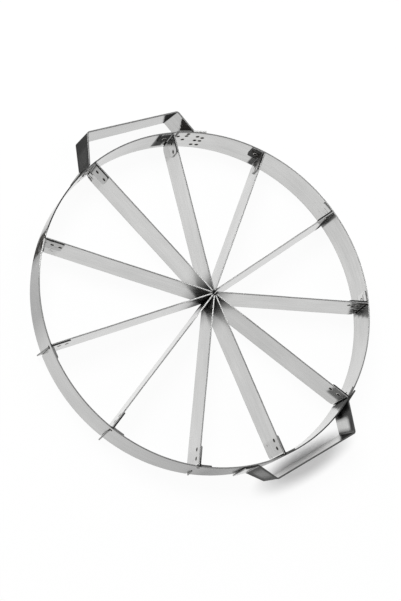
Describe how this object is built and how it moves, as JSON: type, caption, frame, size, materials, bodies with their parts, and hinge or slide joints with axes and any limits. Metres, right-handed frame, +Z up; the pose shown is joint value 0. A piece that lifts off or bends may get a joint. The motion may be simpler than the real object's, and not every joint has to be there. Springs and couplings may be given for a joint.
{
  "type": "cake portion marker",
  "caption": "Round cake portion marker: a steel band with radial blades on edge that meet at the middle, and bent strip handles outside its rim",
  "frame": {"origin": "centre of the band, on the plane that the marker rests on", "axes": "+Z up along the band's axis; +Y roughly towards the rear handle; +X to the right of it, seen from above"},
  "size_m": [0.28, 0.3109, 0.0285],
  "materials": {
    "band_sheet": "bright stainless strip with faint rolling lines along it",
    "blade_sheet": "bright stainless strip with faint rolling lines along it",
    "bracket_sheet": "bright stainless angle with small spot weld marks",
    "handle_sheet": "bright stainless strip, satin on its broad faces"
  },
  "bodies": {
    "root": {"ring_band": "band_sheet", "blade_01": "blade_sheet", "blade_02": "blade_sheet", "blade_03": "blade_sheet", "blade_04": "blade_sheet", "blade_05": "blade_sheet", "blade_06": "blade_sheet", "blade_07": "blade_sheet", "blade_08": "blade_sheet", "blade_09": "blade_sheet", "blade_10": "blade_sheet", "blade_11": "blade_sheet", "blade_bracket_01": "bracket_sheet", "blade_bracket_02": "bracket_sheet", "blade_bracket_03": "bracket_sheet", "blade_bracket_04": "bracket_sheet", "blade_bracket_05": "bracket_sheet", "blade_bracket_06": "bracket_sheet", "blade_bracket_07": "bracket_sheet", "blade_bracket_08": "bracket_sheet", "blade_bracket_09": "bracket_sheet", "blade_bracket_10": "bracket_sheet", "blade_bracket_11": "bracket_sheet", "handle_rear": "handle_sheet", "handle_front": "handle_sheet"}
  },
  "joints": []
}
